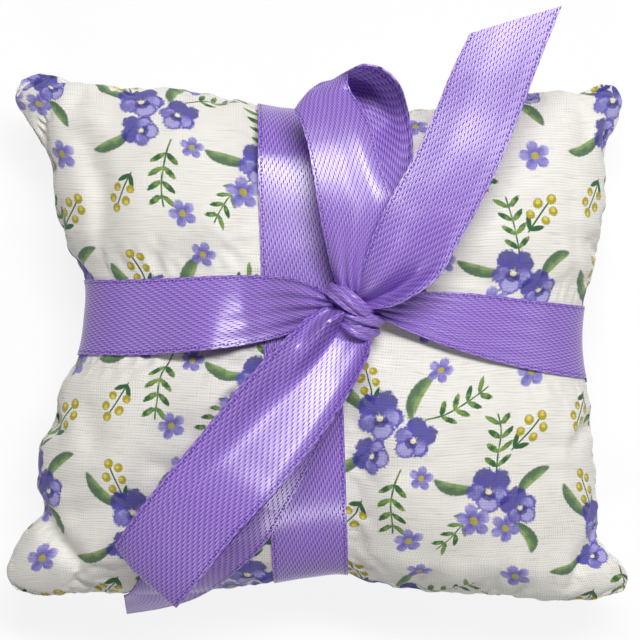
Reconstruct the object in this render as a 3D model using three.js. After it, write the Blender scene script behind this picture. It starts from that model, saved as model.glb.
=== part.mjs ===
// Lavender sachet: a stuffed cotton pillow tied crosswise with one satin ribbon and a bow.
// Millimetres. The sachet lies on its back: +X right, +Y towards the bow's loop, +Z up.
// The origin is on the surface it lies on, under the middle of the pillow.
import * as THREE from "three";

// Pillow
const pillowLength = 98;
const pillowWidth = 82;
const drawPower = 5;
const earTrim = 1;
const earPower = 20;
const seamHeight = 14.5;
const crownHeight = 17;
const backDepth = 17;
const crownPower = 2.5;
const clothThickness = 0.5;

// Sides: how far each is drawn in between its ears, and pinched where the ribbon goes round it
const leftSide = { draw: 4.4, pinch: 6.8, pinchAt: 5, pinchSpread: 16 };
const rightSide = { draw: 4, pinch: 2.8, pinchAt: -1.5, pinchSpread: 12 };
const topSide = { draw: 1.4, pinch: 3.8, pinchAt: 4, pinchSpread: 15 };
const bottomSide = { draw: 0.4, pinch: 2.7, pinchAt: 3, pinchSpread: 10 };

// Ribbon
const ribbonWidth = 12;
const ribbonThickness = 0.4;
const gatherWidth = 4.2;
const pressDepth = 2;
const pressFlank = 1.4;
const pressFade = 8;
const uprightMiddle = -2.6;
const uprightLean = -0.034;
const acrossMiddle = 0.8;
const acrossLean = -0.053;
const acrossRise = 4.1;
const riseSpread = 25;

// Bow
const knotX = 5;
const knotY = 4.1;
const knotLength = 8.4;
const knotWidth = 7.2;
const knotDepth = 5.8;
const knotTurn = 45;
const strandRidge = 0.08;
const gatherLeft = 15;
const gatherRight = 22;
const endRise = 0.9;
const tailOverhang = 2.6;

// Clearances
const gap = 0.3;
const knotClear = 0.4;

// Facets
const sideSteps = 7;
const ribbonLanes = 3;
const settlePasses = 12;
const loopSteps = 42;
const tailSteps = 21;

const { clamp, degToRad, lerp, smoothstep } = THREE.MathUtils;
const halfLength = pillowLength / 2;
const halfWidth = pillowWidth / 2;
const halfRibbon = ribbonWidth / 2;
const layer = ribbonThickness + gap;
const firstLayer = gap + ribbonThickness / 2;
const bedHalf = halfRibbon + 2 * gap;
const bedEdge = bedHalf + pressFlank;
const knotSide = knotWidth / 2 + knotClear;
const knotEnd = knotLength / 2 + knotClear;

// The sewn outline: sides drawn in between the corners, which end in small blunt ears
function sideInset(side, place, half) {
  const reach = Math.min(Math.abs(place / half), 1);
  const pinched = side.pinch * Math.exp(-(((place - side.pinchAt) / side.pinchSpread) ** 2));
  return side.draw * (1 - reach ** drawPower) + pinched + earTrim * reach ** earPower;
}

function sideX(y, sign) {
  return sign * (halfLength - sideInset(sign < 0 ? leftSide : rightSide, y, halfWidth));
}

function sideY(x, sign) {
  return sign * (halfWidth - sideInset(sign < 0 ? bottomSide : topSide, x, halfLength));
}

// Middle lines of the two ribbon bands
function uprightX(y) {
  return uprightMiddle + uprightLean * y;
}

function acrossY(x, face) {
  const straight = acrossMiddle + acrossLean * x;
  return face < 0 ? straight : straight + acrossRise * Math.exp(-(((x - knotX) / riseSpread) ** 2));
}

// Stuffed height: 1 at the crown, 0 along the seam
function fullness(x, y, inset) {
  const u = Math.abs(x / (Math.abs(sideX(y, x < 0 ? -1 : 1)) - inset));
  const v = Math.abs(y / (Math.abs(sideY(x, y < 0 ? -1 : 1)) - inset));
  return Math.sqrt(Math.max(0, 1 - u ** crownPower) * Math.max(0, 1 - v ** crownPower));
}

function pressed(distance, from, to) {
  return 1 - smoothstep(Math.abs(distance), from, to);
}

function frontHeight(x, y, inset, press) {
  return seamHeight + gap / 2 + (crownHeight - inset - pressDepth * press) * fullness(x, y, inset);
}

function frontCloth(x, y, inset) {
  const upright = pressed(x - uprightX(y), bedHalf, bedEdge + pressFade);
  const across = pressed(y - acrossY(x, 1), bedHalf, bedEdge + pressFade);
  return frontHeight(x, y, inset, Math.max(upright, across));
}

// The back lies flat on the surface, with the ribbon bands let into shallow beds
function backHeight(x, y, inset, bed) {
  const belly = seamHeight - gap / 2 - (backDepth - inset) * fullness(x, y, inset);
  return Math.max(belly, bed + inset);
}

function backCloth(x, y, inset) {
  const upright = layer * pressed(x - uprightX(y), bedHalf, bedEdge);
  const across = 2 * layer * pressed(y - acrossY(x, -1), bedHalf, bedEdge);
  return backHeight(x, y, inset, Math.max(upright, across));
}

// Grid lines of a panel: close together along a ribbon bed, then closing up towards the seam
function gridLines() {
  const lines = [];
  for (let k = sideSteps; k >= 0; k -= 1) lines.push({ sign: -1, share: Math.sin((k / sideSteps) * Math.PI / 2) });
  for (const offset of [-bedHalf, -bedHalf / 3, bedHalf / 3, bedHalf]) lines.push({ offset });
  for (let k = 0; k <= sideSteps; k += 1) lines.push({ sign: 1, share: Math.sin((k / sideSteps) * Math.PI / 2) });
  return lines;
}

function onLine(line, middle, side) {
  if (line.offset !== undefined) return middle + line.offset;
  return lerp(middle + line.sign * bedEdge, side, line.share);
}

function panelGrid(face, inset) {
  const cloth = face < 0 ? backCloth : frontCloth;
  const lines = gridLines();
  return lines.map((column) => lines.map((row) => {
    let x = 0;
    let y = 0;
    for (let pass = 0; pass < settlePasses; pass += 1) {
      x = onLine(column, uprightX(y), sideX(y, column.sign) - column.sign * inset);
      y = onLine(row, acrossY(x, face), sideY(x, row.sign) - row.sign * inset);
    }
    return new THREE.Vector3(x, y, cloth(x, y, inset));
  }));
}

// A closed body between two grids of points that share their rim; a ring also joins its ends
function bodyBetween(upper, lower, ring = false) {
  const rows = upper.length;
  const lanes = upper[0].length;
  const points = [...upper.flat(), ...lower.flat()];
  const at = (i, j) => (i % rows) * lanes + j;
  const below = rows * lanes;
  const faces = [];
  const quad = (a, b, c, d) => faces.push(a, b, c, a, c, d);
  const steps = ring ? rows : rows - 1;
  for (let i = 0; i < steps; i += 1) {
    for (let j = 0; j < lanes - 1; j += 1) {
      quad(at(i, j), at(i + 1, j), at(i + 1, j + 1), at(i, j + 1));
      quad(below + at(i, j), below + at(i, j + 1), below + at(i + 1, j + 1), below + at(i + 1, j));
    }
    quad(at(i, 0), below + at(i, 0), below + at(i + 1, 0), at(i + 1, 0));
    quad(at(i + 1, lanes - 1), below + at(i + 1, lanes - 1), below + at(i, lanes - 1), at(i, lanes - 1));
  }
  for (let j = 0; j < lanes - 1 && !ring; j += 1) {
    quad(at(0, j + 1), below + at(0, j + 1), below + at(0, j), at(0, j));
    quad(at(rows - 1, j), below + at(rows - 1, j), below + at(rows - 1, j + 1), at(rows - 1, j + 1));
  }
  const geometry = new THREE.BufferGeometry().setFromPoints(points);
  geometry.setIndex(faces);
  return geometry;
}

// Normals of a grid of points, pointing to the side from which rows then lanes turn left
function gridNormals(grid, ring) {
  const rows = grid.length;
  const lanes = grid[0].length;
  return grid.map((row, i) => row.map((point, j) => {
    const before = ring ? grid[(i + rows - 1) % rows][j] : grid[Math.max(i - 1, 0)][j];
    const after = ring ? grid[(i + 1) % rows][j] : grid[Math.min(i + 1, rows - 1)][j];
    const along = new THREE.Vector3().subVectors(after, before);
    const across = new THREE.Vector3().subVectors(row[Math.min(j + 1, lanes - 1)], row[Math.max(j - 1, 0)]);
    return along.cross(across).normalize();
  }));
}

function shifted(grid, normals, distance) {
  return grid.map((row, i) => row.map((point, j) => point.clone().addScaledVector(normals[i][j], distance(point))));
}

function ribbonSolid(middle, ring = false) {
  const normals = gridNormals(middle, ring);
  const half = ribbonThickness / 2;
  return bodyBetween(shifted(middle, normals, () => half), shifted(middle, normals, () => -half), ring);
}

const laneShares = Array.from({ length: ribbonLanes + 1 }, (_, j) => (2 * j) / ribbonLanes - 1);

// Width of the ribbon across a gathered stretch, from 0 at the knot to 1 where it lies flat
function gathered(share) {
  return gatherWidth + (ribbonWidth - gatherWidth) * share;
}

// Upright band: round the pillow along Y, under the other band in front
function uprightBand() {
  const base = [];
  for (const face of [1, -1]) {
    const rows = face > 0 ? gridLines() : gridLines().reverse();
    for (const row of rows) {
      base.push(laneShares.map((share) => {
        let x = uprightMiddle + share * halfRibbon;
        let y = 0;
        for (let pass = 0; pass < settlePasses; pass += 1) {
          y = onLine(row, acrossY(x, face), sideY(x, row.sign));
          x = uprightX(y) + share * halfRibbon;
        }
        const z = face > 0 ? frontHeight(x, y, 0, 1) : backHeight(x, y, 0, layer);
        return new THREE.Vector3(x, y, z);
      }));
    }
  }
  return ribbonSolid(shifted(base, gridNormals(base, true), () => -firstLayer), true);
}

// Across band: from the knot round the back to the knot, over the upright band in front
function acrossStation(column, face) {
  return laneShares.map((share) => {
    let x = knotX;
    let y = acrossMiddle;
    for (let pass = 0; pass < settlePasses; pass += 1) {
      x = column.x ?? onLine(column, uprightX(y), sideX(y, column.sign));
      const run = x < knotX ? gatherLeft : gatherRight;
      const open = face < 0 ? 1 : smoothstep(Math.abs(x - knotX) - knotSide, 0, run);
      y = acrossY(x, face) + share * gathered(open) / 2;
    }
    const z = face > 0 ? frontHeight(x, y, 0, 1) : backHeight(x, y, 0, 2 * layer);
    return new THREE.Vector3(x, y, z);
  });
}

function acrossBand() {
  const columns = gridLines();
  const middleOf = (station) => (station[0].x + station[ribbonLanes].x) / 2;
  const front = columns.map((column) => acrossStation(column, 1));
  const left = front.filter((station) => middleOf(station) < knotX - knotSide - gap);
  const right = front.filter((station) => middleOf(station) > knotX + knotSide + gap);
  const base = [
    acrossStation({ x: knotX - knotSide }, 1),
    ...left.reverse(),
    ...columns.map((column) => acrossStation(column, -1)),
    ...right.reverse(),
    acrossStation({ x: knotX + knotSide }, 1),
  ];
  const lift = (point) => {
    const front = point.z > seamHeight ? 1 : 0;
    const over = pressed(point.x - uprightX(point.y), bedEdge, bedEdge + pressFade);
    const rise = 1 - smoothstep(Math.abs(point.x - knotX) - knotSide, 0, gatherLeft / 3);
    return -(firstLayer + front * (over * layer + rise * endRise));
  };
  return ribbonSolid(shifted(base, gridNormals(base, false), lift));
}

// Knot: a gathered bundle with strands lying across it on the slant
const knotFloor = frontHeight(knotX, knotY, 0, 1) + layer + gap;
const knot = new THREE.Vector3(knotX, knotY, knotFloor + knotDepth / 2);

function bowKnot() {
  const geometry = new THREE.SphereGeometry(1, 24, 16).rotateX(Math.PI / 2);
  const position = geometry.attributes.position;
  const turn = degToRad(knotTurn);
  for (let k = 0; k < position.count; k += 1) {
    const way = new THREE.Vector3().fromBufferAttribute(position, k);
    const slant = clamp(way.x * Math.cos(turn) + way.y * Math.sin(turn), -1, 1);
    const swell = 1 + strandRidge * (Math.cos(6 * Math.asin(slant)) - 1) / 2;
    way.multiply(new THREE.Vector3(knotWidth / 2, knotLength / 2, knotDepth / 2)).multiplyScalar(swell);
    position.setXYZ(k, way.x, way.y, way.z);
  }
  return geometry.translate(knot.x, knot.y, knot.z);
}

// A stretch of ribbon through hand-set stations, measured from the knot:
// [right, up the pillow, height, heading of the ribbon's right edge, its tilt, share of full width]
// Where it would sink, it lies on the stuffed crown instead, a number of ribbon layers up.
function ribbonThrough(stations, steps, restLayer) {
  const centres = new THREE.CatmullRomCurve3(stations.map((s) => new THREE.Vector3(s[0], s[1], s[2]).add(knot)));
  const edges = new THREE.CatmullRomCurve3(stations.map(([, , , heading, tilt, share]) => {
    const flat = Math.cos(degToRad(tilt));
    const way = [flat * Math.cos(degToRad(heading)), flat * Math.sin(degToRad(heading)), Math.sin(degToRad(tilt))];
    return new THREE.Vector3(...way).multiplyScalar(gathered(share) / 2);
  }));
  const rows = [];
  for (let step = 0; step <= steps; step += 1) {
    const centre = centres.getPoint(step / steps);
    const edge = edges.getPoint(step / steps);
    rows.push(laneShares.map((share) => {
      const point = centre.clone().addScaledVector(edge, share);
      const rest = frontHeight(point.x, point.y, 0, 0) + firstLayer + restLayer * layer;
      if (fullness(point.x, point.y, 0) > 0) point.z = Math.max(point.z, rest);
      return point;
    }));
  }
  return ribbonSolid(rows);
}

const upperLoopRoute = [
  [-0.4, knotEnd, 0.4, 0, 0, 0],
  [-0.3, 7.8, 1.3, 6, 2, 0.2],
  [0, 11, 2, 6, 4, 0.5],
  [0.2, 15.8, 2.8, 2, 8, 0.85],
  [-0.9, 22.4, 3.7, -2, 13, 0.9],
  [-2.3, 28, 3.5, 2, 22, 0.9],
  [-4, 32.4, 2, 22, 29, 0.85],
  [-2.6, 34.3, -0.8, 30, 30, 0.85],
  [0.8, 33, -2.4, 27, 18, 1],
  [3.2, 27.6, -3.3, 22, 10, 1.05],
  [3.4, 22.4, -3.5, 15, 8, 1],
  [2.8, 16.6, -3.2, 8, 5, 0.8],
  [1.3, 9.6, -1.7, 0, 0, 0.35],
  [0.4, knotEnd, -0.5, 0, 0, 0],
];

const upperTailRoute = [
  [2.9, 3.4, 1.4, -40, 0, 0],
  [5.2, 5.2, 2.5, -34, 0, 0.5],
  [8, 8.2, 3.4, -25, 0, 0.95],
  [10.4, 12.6, 4.2, -20, 0, 1],
  [15.9, 22.7, 4.9, -15, 0, 1],
  [18.9, 29.6, 5.1, -10, 2, 1],
  [21.6, 36.6, 5.2, 4, 3, 1.15],
  [24.6, 43.5, 5.2, 17.5, 5, 1.35],
];

const lowerLoopRoute = [
  [-1.6, -4.9, 0.8, -40, 0, 0.1],
  [-3, -7.2, 1.3, -39, 0, 0.55],
  [-5.6, -10, 1.4, -37, 0, 1],
  [-10.3, -15.3, 1, -36, 1, 1.2],
  [-15.8, -21.8, 0, -38, -2, 1.25],
  [-23.4, -30.4, -2.6, -37, -3, 1.25],
  [-29, -37.4, -5.3, -41, -4, 1.2],
  [-31.9, -41.2, -7.1, -42, -4, 1.2],
  [-32.4, -41.8, -8, -42, -4, 1.2],
  [-31.4, -40.6, -8.6, -42, -4, 1.2],
  [-23.3, -31.2, -5, -39, -4, 1.15],
  [-15, -21.8, -1.9, -40, -3, 1.1],
  [-9, -14.6, -1, -40, 0, 1],
  [-5, -8, -0.8, -40, 0, 0.4],
  [-3.6, -3.2, -0.5, -40, 0, 0],
];

// The lower tail hangs over the pillow's edge, so its last stations are set out from that side
function hanging(x, down, heading, tilt) {
  const y = sideY(knotX + x, -1) - tailOverhang;
  return [x, y - knotY, seamHeight - down - knot.z, heading, tilt, 1];
}

const lowerTailRoute = [
  [-2.4, -4, -1.5, -40, 0, 0],
  [-5.2, -12.2, -2.2, -40, 0, 0.8],
  [-10.2, -21.5, -4, -40, 0, 1],
  [-17.2, -31.3, -7, -40, 0, 1],
  [-22.7, -38.6, -9, -38, -8, 1],
  hanging(-27.5, -4.5, -52, -34),
  hanging(-32, 0.5, -72, -60),
  hanging(-36, 3, -85, -68),
];

function cotton(name, geometry, color) {
  const mesh = new THREE.Mesh(geometry, new THREE.MeshStandardMaterial({ color, roughness: 0.9, metalness: 0 }));
  mesh.name = name;
  return mesh;
}

function satin(name, geometry) {
  const mesh = new THREE.Mesh(geometry, new THREE.MeshStandardMaterial({ color: 0x9e80cd, roughness: 0.4, metalness: 0 }));
  mesh.name = name;
  return mesh;
}

const fillInset = clothThickness + 2 * gap;
const pillow = new THREE.Group();
pillow.add(cotton("front_panel", bodyBetween(panelGrid(1, 0), panelGrid(1, clothThickness)), 0xece9e2));
pillow.add(cotton("back_panel", bodyBetween(panelGrid(-1, clothThickness), panelGrid(-1, 0)), 0xece9e2));
pillow.add(cotton("lavender_filling", bodyBetween(panelGrid(1, fillInset), panelGrid(-1, fillInset)), 0x6f6a8c));

const tie = new THREE.Group();
tie.add(satin("upright_band", uprightBand()));
tie.add(satin("across_band", acrossBand()));
tie.add(satin("bow_knot", bowKnot()));
tie.add(satin("upper_loop", ribbonThrough(upperLoopRoute, loopSteps, 2)));
tie.add(satin("upper_tail", ribbonThrough(upperTailRoute, tailSteps, 0)));
tie.add(satin("lower_loop", ribbonThrough(lowerLoopRoute, loopSteps, 1)));
tie.add(satin("lower_tail", ribbonThrough(lowerTailRoute, tailSteps, 0)));

const sachet = new THREE.Group();
sachet.add(pillow, tie);
export default sachet;
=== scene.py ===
import math

import bpy
import numpy as np
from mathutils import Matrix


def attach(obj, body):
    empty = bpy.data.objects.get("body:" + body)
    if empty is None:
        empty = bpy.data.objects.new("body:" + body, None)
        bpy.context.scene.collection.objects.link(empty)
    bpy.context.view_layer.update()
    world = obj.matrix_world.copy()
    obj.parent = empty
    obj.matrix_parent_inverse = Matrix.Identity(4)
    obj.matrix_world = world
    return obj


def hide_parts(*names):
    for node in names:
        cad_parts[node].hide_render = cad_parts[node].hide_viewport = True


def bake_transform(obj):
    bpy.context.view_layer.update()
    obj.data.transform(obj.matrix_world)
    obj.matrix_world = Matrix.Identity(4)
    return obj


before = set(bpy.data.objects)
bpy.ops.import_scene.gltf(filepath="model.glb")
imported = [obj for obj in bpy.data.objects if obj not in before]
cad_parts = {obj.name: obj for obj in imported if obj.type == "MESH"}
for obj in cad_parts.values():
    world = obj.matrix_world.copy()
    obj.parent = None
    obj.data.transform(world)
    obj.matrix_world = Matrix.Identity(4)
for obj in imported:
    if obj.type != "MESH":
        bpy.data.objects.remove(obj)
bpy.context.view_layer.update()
scene = bpy.context.scene
scene.view_settings.view_transform = "Standard"
mm = 0.001
print("frame loaded:", len(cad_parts), "nodes")


# camera and light

studio = {
    "cameraAt": (0.16, 2.56, 444.5),     # straight above the sachet
    "lens": 151.1,
    "sensor": 36,
    "nearest": 10,
    "floorSize": 1600,
    "floorTone": (0.93, 0.93, 0.93, 1),
    "floorRoughness": 0.9,
    "shadowShare": 0.15,                 # how much of the floor's own shading the camera sees
    "fill": 0.03,
    "lamps": {                           # place, width, height, watts
        "strip_far": ((80, 235, 500), 330, 92, 2.9),
        "lamp_near": ((-20, -372, 335), 130, 50, 0.46),
        "lamp_left": ((-420, 40, 260), 160, 160, 0.06),
        "lamp_right": ((420, 40, 260), 160, 160, 0.14),
    },
}


def mixedBackground(tree, lightSide, cameraSide, cameraShare):
    # the camera and glossy surfaces see cameraSide, and lightSide lights the rest
    path = tree.nodes.new("ShaderNodeLightPath").outputs
    seen = largest(tree, path["Is Glossy Ray"], path["Is Transmission Ray"], path["Is Camera Ray"])
    blend = tree.nodes.new("ShaderNodeMixShader")
    tree.links.new(times(tree, seen, cameraShare), blend.inputs[0])
    tree.links.new(lightSide.outputs[0], blend.inputs[1])
    tree.links.new(cameraSide.outputs[0], blend.inputs[2])
    return blend.outputs[0]


def makeCamera():
    camera = bpy.data.objects.new("camera", bpy.data.cameras.new("camera"))
    scene.collection.objects.link(camera)
    camera.location = [value * mm for value in studio["cameraAt"]]
    camera.data.lens = studio["lens"]
    camera.data.sensor_width = studio["sensor"]
    camera.data.clip_start = studio["nearest"] * mm
    scene.camera = camera


def makeLamps():
    for name, (place, width, height, watts) in studio["lamps"].items():
        data = bpy.data.lights.new(name, "AREA")
        data.shape = "RECTANGLE"
        data.size = width * mm
        data.size_y = height * mm
        data.energy = watts
        lamp = bpy.data.objects.new(name, data)
        scene.collection.objects.link(lamp)
        lamp.location = [value * mm for value in place]
        lamp.rotation_euler = (-lamp.location).to_track_quat("-Z", "Y").to_euler()


def makeRoom():
    world = bpy.data.worlds.new("soft_room")
    scene.world = world
    world.use_nodes = True
    tree = world.node_tree
    light = tree.nodes["Background"]
    light.inputs["Strength"].default_value = studio["fill"]
    white = tree.nodes.new("ShaderNodeBackground")
    for background in (light, white):
        background.inputs["Color"].default_value = (1, 1, 1, 1)
    tree.links.new(mixedBackground(tree, light, white, 1), tree.nodes["World Output"].inputs["Surface"])


def makeFloor():
    half = studio["floorSize"] / 2 * mm
    corners = [(-half, -half, 0), (half, -half, 0), (half, half, 0), (-half, half, 0)]
    mesh = bpy.data.meshes.new("floor")
    mesh.from_pydata(corners, [], [(0, 1, 2, 3)])
    floor = bpy.data.objects.new("floor", mesh)
    scene.collection.objects.link(floor)
    paper, tree, matt = newFinish("white_paper")
    matt.inputs["Base Color"].default_value = studio["floorTone"]
    matt.inputs["Roughness"].default_value = studio["floorRoughness"]
    glow = tree.nodes.new("ShaderNodeEmission")
    surface = mixedBackground(tree, matt, glow, 1 - studio["shadowShare"])
    tree.links.new(surface, tree.nodes["Material Output"].inputs["Surface"])
    mesh.materials.append(paper)


# curves through given points

def curveThrough(points, count):
    # centripetal Catmull-Rom, the same number of steps between each two points
    points = np.asarray(points, float)
    points = np.vstack([2 * points[0] - points[1], points, 2 * points[-1] - points[-2]])
    apart = np.linalg.norm(np.diff(points, axis=0), axis=1)
    knots = np.concatenate([[0], np.cumsum(apart**0.5 + 1e-6)])
    result = []
    for t in np.linspace(0, len(points) - 3 - 1e-9, count):
        k = int(t) + 1
        k0, k1, k2, k3 = knots[k - 1:k + 3]
        p0, p1, p2, p3 = points[k - 1:k + 3]
        s = k1 + (t - int(t)) * (k2 - k1)
        a1 = ((k1 - s) * p0 + (s - k0) * p1) / (k1 - k0)
        a2 = ((k2 - s) * p1 + (s - k1) * p2) / (k2 - k1)
        a3 = ((k3 - s) * p2 + (s - k2) * p3) / (k3 - k2)
        b1 = ((k2 - s) * a1 + (s - k0) * a2) / (k2 - k0)
        b2 = ((k3 - s) * a2 + (s - k1) * a3) / (k3 - k1)
        result.append(((k2 - s) * b1 + (s - k1) * b2) / (k2 - k1))
    return np.array(result)


def hermite(t, before, after, step, slopeBefore, slopeAfter):
    return ((2 * t**3 - 3 * t**2 + 1) * before + (t**3 - 2 * t**2 + t) * step * slopeBefore
            + (3 * t**2 - 2 * t**3) * after + (t**3 - t**2) * step * slopeAfter)


def lineThrough(points):
    # smooth y of x through points sorted by x
    xs, ys = np.array(points, float).T
    slopes = np.gradient(ys, xs)

    def value(x):
        x = np.clip(x, xs[0], xs[-1])
        k = np.clip(np.searchsorted(xs, x, side="right") - 1, 0, len(xs) - 2)
        step = xs[k + 1] - xs[k]
        t = (x - xs[k]) / step
        return hermite(t, ys[k], ys[k + 1], step, slopes[k], slopes[k + 1])

    return value


def smoothStep(value, low, high):
    t = np.clip((value - low) / (high - low), 0, 1)
    return t * t * (3 - 2 * t)


def softNoise(x, y, scale, seed):
    # a few crossed waves, the same every run
    draw = np.random.default_rng(seed)
    total = np.zeros_like(x)
    for _ in range(9):
        turn = draw.uniform(0, 2 * math.pi)
        phase = draw.uniform(0, 2 * math.pi)
        pitch = draw.uniform(0.7, 1.5)
        total += np.sin((x * math.cos(turn) + y * math.sin(turn)) * 2 * math.pi / (scale * pitch) + phase)
    return total / 3


# pillow

knotAt = (5.0, 4.1, 33.48)       # where the bow is tied
pillow = {
    "seam": 14.5,                # height of the seam
    "crown": 17.15,              # height of the front above it
    "depth": 17.15,              # and of the back below it, before it lies flat
    "crownPower": 2.5,           # how square the pillow's sections are
    "press": 2.0,                # how deep the ribbon sinks into the front
    "bed": 6.6,                  # half the width of the groove it makes
    "bedFlank": 8.5,             # how far the groove runs out, on the front
    "bedRim": 1.4,               # how far the groove runs out, on the back
    "upright": (-2.6, -0.034),   # middle and lean of the ribbon up and down the pillow
    "across": (0.8, -0.053),
    "acrossRise": (4.1, 25.0),   # it is drawn up to the knot on the front
    "ribbonLayer": 0.7,          # room under the back for one ribbon
    "ease": 0.06,                # how uneven the flat underneath is
    "columns": 210,
    "rows": 180,
    # the seam's four sides, x of y to the left and right and y of x at the top and bottom
    "left": [(-40.6, -48.4), (-38.6, -49.8), (-35.5, -49.0), (-32, -47.2), (-28.6, -44.2), (-23.5, -44.8),
             (-17.8, -44.3), (-13.4, -42.3), (-9.1, -41.2), (-2.9, -38.3), (3, -37.3), (8.5, -37.2),
             (15.2, -40.2), (23.4, -42.4), (27, -42.7), (34.6, -46.4), (38.4, -48.5), (41, -47.6)],
    "right": [(-40.9, 48.6), (-39.3, 49.3), (-36.5, 48), (-34.4, 45.9), (-32, 44.5), (-28.8, 44.5),
              (-25, 44.3), (-17, 43.6), (-9.1, 42.9), (-4, 42), (-1.4, 41.8), (4, 42.1), (13, 44.2),
              (21.1, 45.5), (30.9, 46), (35.2, 47.8), (37.6, 48.4), (39.9, 47.4)],
    "top": [(-47.6, 41), (-44.8, 41.7), (-40, 40.7), (-33.4, 39.7), (-22.6, 39.4), (-9.9, 36.9), (-3, 35.8),
            (5, 35.5), (17.8, 36.2), (33.1, 38.6), (37.8, 38.9), (40.8, 38.6), (45.3, 40.1), (47.4, 39.9)],
    "bottom": [(-48.4, -40.6), (-46.1, -41.2), (-37.9, -41), (-20, -40.8), (-7.2, -39.2), (-1.5, -38.3),
               (4.5, -37.9), (8.3, -39.1), (16.5, -40.6), (27.8, -41.3), (45.9, -41.6), (48.6, -40.9)],
    "creases": [                 # stations on the front, depth, width
        ([(-39, 34), (-35.2, 27), (-33.4, 21), (-34.4, 10)], 1.7, 2.4),
        ([(-43.6, -28.2), (-40.5, -32), (-36.8, -36)], 1.6, 1.8),
        ([(41, 38.2), (42, 33), (41.6, 27)], 0.8, 1.8),
        ([(46, -33.2), (42.6, -35.4), (39, -36.4)], 0.9, 1.7),
        ([(7.4, -38.6), (9.4, -33.6), (13.4, -28.6)], 0.7, 2.0),
        ([(-38.6, -5), (-35.4, -13), (-34.6, -20)], 0.7, 2.2),
    ],
    "lumps": [(0.32, 15, 3), (0.16, 7, 5)],      # height, size and seed of the filling's soft lumps
    "reliefPower": 0.7,                          # how soon lumps and puckers reach their height
    "backPrint": (60, 40, 1),                    # where on the printed cloth the back is cut from
}
puckers = {                      # small waves beside the seam, front and back
    1: {"height": 0.28, "along": (1.35, 1.2), "sway": ((22, 8), (20, 9)),
        "fromSeam": 0.1, "spread": 0.09},
    -1: {"height": 0.28, "along": (1.25, 1.3), "sway": ((21, 18), (19, 19)),
         "fromSeam": 0.12, "spread": 0.1},
}
sideLine = {side: lineThrough(pillow[side]) for side in ("left", "right", "top", "bottom")}


def uprightX(y):
    middle, lean = pillow["upright"]
    return middle + lean * y


def acrossY(x, face):
    middle, lean = pillow["across"]
    rise, spread = pillow["acrossRise"]
    return middle + lean * x + (rise * np.exp(-((x - knotAt[0]) / spread) ** 2) if face > 0 else 0)


def fullness(u, v):
    power = pillow["crownPower"]
    return np.sqrt(np.clip(1 - np.abs(u) ** power, 0, 1) * np.clip(1 - np.abs(v) ** power, 0, 1))


def shares(x, y):
    left, right = sideLine["left"](y), sideLine["right"](y)
    bottom, top = sideLine["bottom"](x), sideLine["top"](x)
    return 2 * (x - left) / (right - left) - 1, 2 * (y - bottom) / (top - bottom) - 1


def creaseDepth(x, y):
    total = np.zeros_like(x)
    for stations, depth, width in pillow["creases"]:
        path = curveThrough(stations, 40)
        off = np.sqrt((x[..., None] - path[:, 0]) ** 2 + (y[..., None] - path[:, 1]) ** 2)
        near = off.argmin(-1) / (len(path) - 1)
        fade = np.sin(np.clip(near, 0.02, 0.98) * math.pi) ** 0.5
        total += depth * fade * np.exp(-(off.min(-1) / width) ** 2)
    return total


def offBands(x, y, face, near, far):
    # 0 on the ribbons' beds, 1 well away from both
    fromUpright = np.abs(x - uprightX(y))
    fromAcross = np.abs(y - acrossY(x, face))
    return np.minimum(smoothStep(fromUpright, near, far), smoothStep(fromAcross, near, far))


def puckering(x, y, u, v, face):
    look = puckers[face]
    waves = sum(np.sin(at * pitch + 2 * softNoise(x, y, *sway))
                for at, pitch, sway in zip((x, y), look["along"], look["sway"]))
    edge = np.minimum(1 - np.abs(u), 1 - np.abs(v))
    return look["height"] * waves * np.exp(-((edge - look["fromSeam"]) / look["spread"]) ** 2)


def frontHeight(x, y):
    u, v = shares(x, y)
    full = fullness(u, v)
    loose = offBands(x, y, 1, pillow["bed"], pillow["bed"] + pillow["bedFlank"])
    height = pillow["seam"] + (pillow["crown"] - pillow["press"] * (1 - loose)) * full
    lumps = sum(high * softNoise(x, y, size, seed) for high, size, seed in pillow["lumps"])
    height += loose * full ** pillow["reliefPower"] * (lumps + puckering(x, y, u, v, 1))
    return height - loose**0.5 * creaseDepth(x, y) * np.minimum(full * 2.5, 1)


def backHeight(x, y):
    # flat where it lies on the surface, with room for the ribbons under it
    u, v = shares(x, y)
    full = fullness(u, v)
    reach = (pillow["bed"], pillow["bed"] + pillow["bedRim"])
    upright = 1 - smoothStep(np.abs(x - uprightX(y)), *reach)
    across = 1 - smoothStep(np.abs(y - acrossY(x, -1)), *reach)
    bed = pillow["ribbonLayer"] * np.maximum(upright, 2 * across)
    height = pillow["seam"] - pillow["depth"] * full
    height += full ** pillow["reliefPower"] * puckering(x, y, u, v, -1)
    return np.maximum(height, bed + pillow["ease"] * (softNoise(x, y, 9, 21) + 1))


def clothHeight(x, y, face):
    return frontHeight(x, y) if face > 0 else backHeight(x, y)


def pillowGrid(columns, rows, inset=0):
    # grid lines crowd towards the seam, where the cloth turns over
    a = (1 - np.cos(np.linspace(0, math.pi, columns + 1))) / 2
    b = (1 - np.cos(np.linspace(0, math.pi, rows + 1))) / 2
    a, b = np.meshgrid(a, b, indexing="ij")
    x, y = 98 * (a - 0.5), 82 * (b - 0.5)      # a first guess, drawn to the seam in rounds
    for _ in range(14):
        x = (sideLine["left"](y) + inset) * (1 - a) + (sideLine["right"](y) - inset) * a
        y = (sideLine["bottom"](x) + inset) * (1 - b) + (sideLine["top"](x) - inset) * b
    return x, y


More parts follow.
